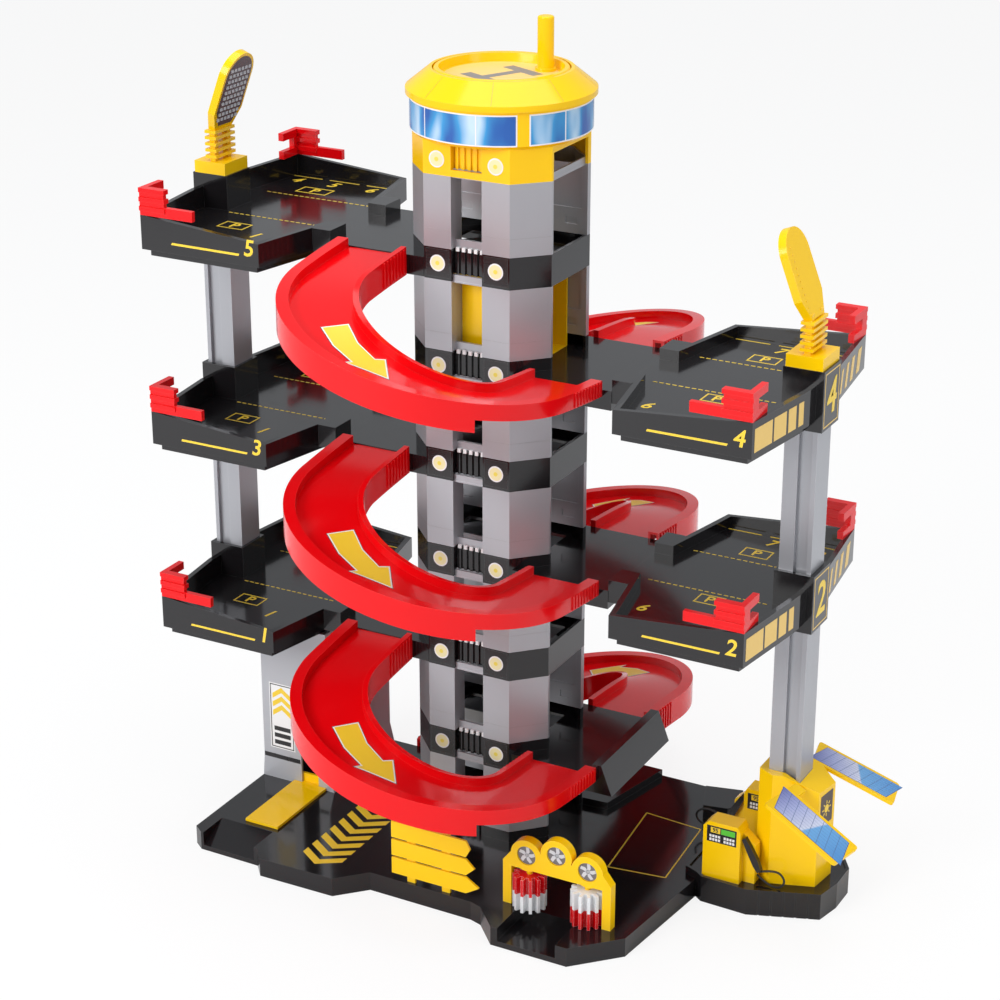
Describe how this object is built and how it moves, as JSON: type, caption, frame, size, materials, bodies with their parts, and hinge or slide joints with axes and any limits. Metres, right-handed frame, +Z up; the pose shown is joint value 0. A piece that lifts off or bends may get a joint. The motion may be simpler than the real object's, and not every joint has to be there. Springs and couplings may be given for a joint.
{
  "type": "toy parking garage",
  "caption": "Toy parking garage with an octagonal lift tower, a winding crank on the roof, side platforms on columns and U-shaped ramps.",
  "frame": {"origin": "underside of the lift pit, on the tower axis, in the plane that the base stands on", "axes": "+Z up along the tower, +X towards the pump island and the right-hand platforms, +Y to the back"},
  "size_m": [0.7437, 0.5502, 0.8351],
  "materials": {
    "silver_plastic": "metallic grey moulded plastic",
    "grey_plastic": "grey moulded plastic",
    "black_plastic": "glossy black moulded plastic",
    "red_plastic": "glossy red moulded plastic",
    "yellow_plastic": "glossy yellow moulded plastic",
    "white_plastic": "white moulded plastic",
    "black_rubber": "soft black tube"
  },
  "bodies": {
    "garage": {"base_deck": "black_plastic", "bumpers_1": "red_plastic", "bumpers_2": "red_plastic", "bumpers_3": "red_plastic", "bumpers_4": "red_plastic", "bumpers_5": "red_plastic", "collar": "yellow_plastic", "column_left_lower": "silver_plastic", "column_left_upper": "silver_plastic", "column_right_lower": "silver_plastic", "column_right_upper": "silver_plastic", "direction_sign": "yellow_plastic", "floor_0": "black_plastic", "floor_1": "black_plastic", "floor_2": "black_plastic", "floor_3": "black_plastic", "floor_4": "black_plastic", "floor_5": "black_plastic", "hose_1": "black_rubber", "hose_2": "black_rubber", "mast_left": "yellow_plastic", "mast_right": "yellow_plastic", "nozzle_1": "black_plastic", "nozzle_2": "black_plastic", "panel_front": "yellow_plastic", "panel_rear": "yellow_plastic", "platform_1": "black_plastic", "platform_2": "black_plastic", "platform_3": "black_plastic", "platform_4": "black_plastic", "platform_5": "black_plastic", "pump_1": "yellow_plastic", "pump_2": "yellow_plastic", "pump_island": "black_plastic", "ramp_front_1": "red_plastic", "ramp_front_2": "red_plastic", "ramp_front_3": "red_plastic", "ramp_rear_1": "red_plastic", "ramp_rear_2": "red_plastic", "ramp_rear_3": "red_plastic", "roof": "yellow_plastic", "service_tower": "grey_plastic", "solar_house": "yellow_plastic", "storey_0": "silver_plastic", "storey_1": "silver_plastic", "storey_2": "silver_plastic", "storey_3": "silver_plastic", "storey_4": "silver_plastic", "storey_5": "silver_plastic", "storey_6": "silver_plastic", "wash_arch": "yellow_plastic", "window_ring": "yellow_plastic"},
    "winding_gear": {"crank_handle": "yellow_plastic", "helipad": "yellow_plastic", "winch_spool": "white_plastic"},
    "lift": {"lift_cabin": "yellow_plastic"},
    "service_lift": {"service_plate": "yellow_plastic"},
    "roller_left": {"wash_roller_left": "red_plastic"},
    "roller_right": {"wash_roller_right": "white_plastic"}
  },
  "joints": [
    {"name": "crank_turn", "type": "hinge", "parent": "garage", "child": "winding_gear", "pos_m": [0, 0, 0.77], "axis": [0, 0, 1], "range_deg": [-2291, 458]},
    {"name": "lift_slide", "type": "slide", "parent": "garage", "child": "lift", "axis": [0, 0, 1], "range_m": [-0.5, 0.1]},
    {"name": "roller_left_spin", "type": "hinge", "parent": "garage", "child": "roller_left", "pos_m": [0.1195, -0.165, 0.04], "axis": [0, 0, 1], "continuous": true},
    {"name": "roller_right_spin", "type": "hinge", "parent": "garage", "child": "roller_right", "pos_m": [0.1815, -0.165, 0.04], "axis": [0, 0, 1], "continuous": true},
    {"name": "service_slide", "type": "slide", "parent": "garage", "child": "service_lift", "axis": [0, 0, 1], "range_m": [0, 0.12]}
  ],
  "couplings": [
    {"joint": "lift_slide", "follows": "crank_turn", "m_per_rad": 0.0125}
  ]
}
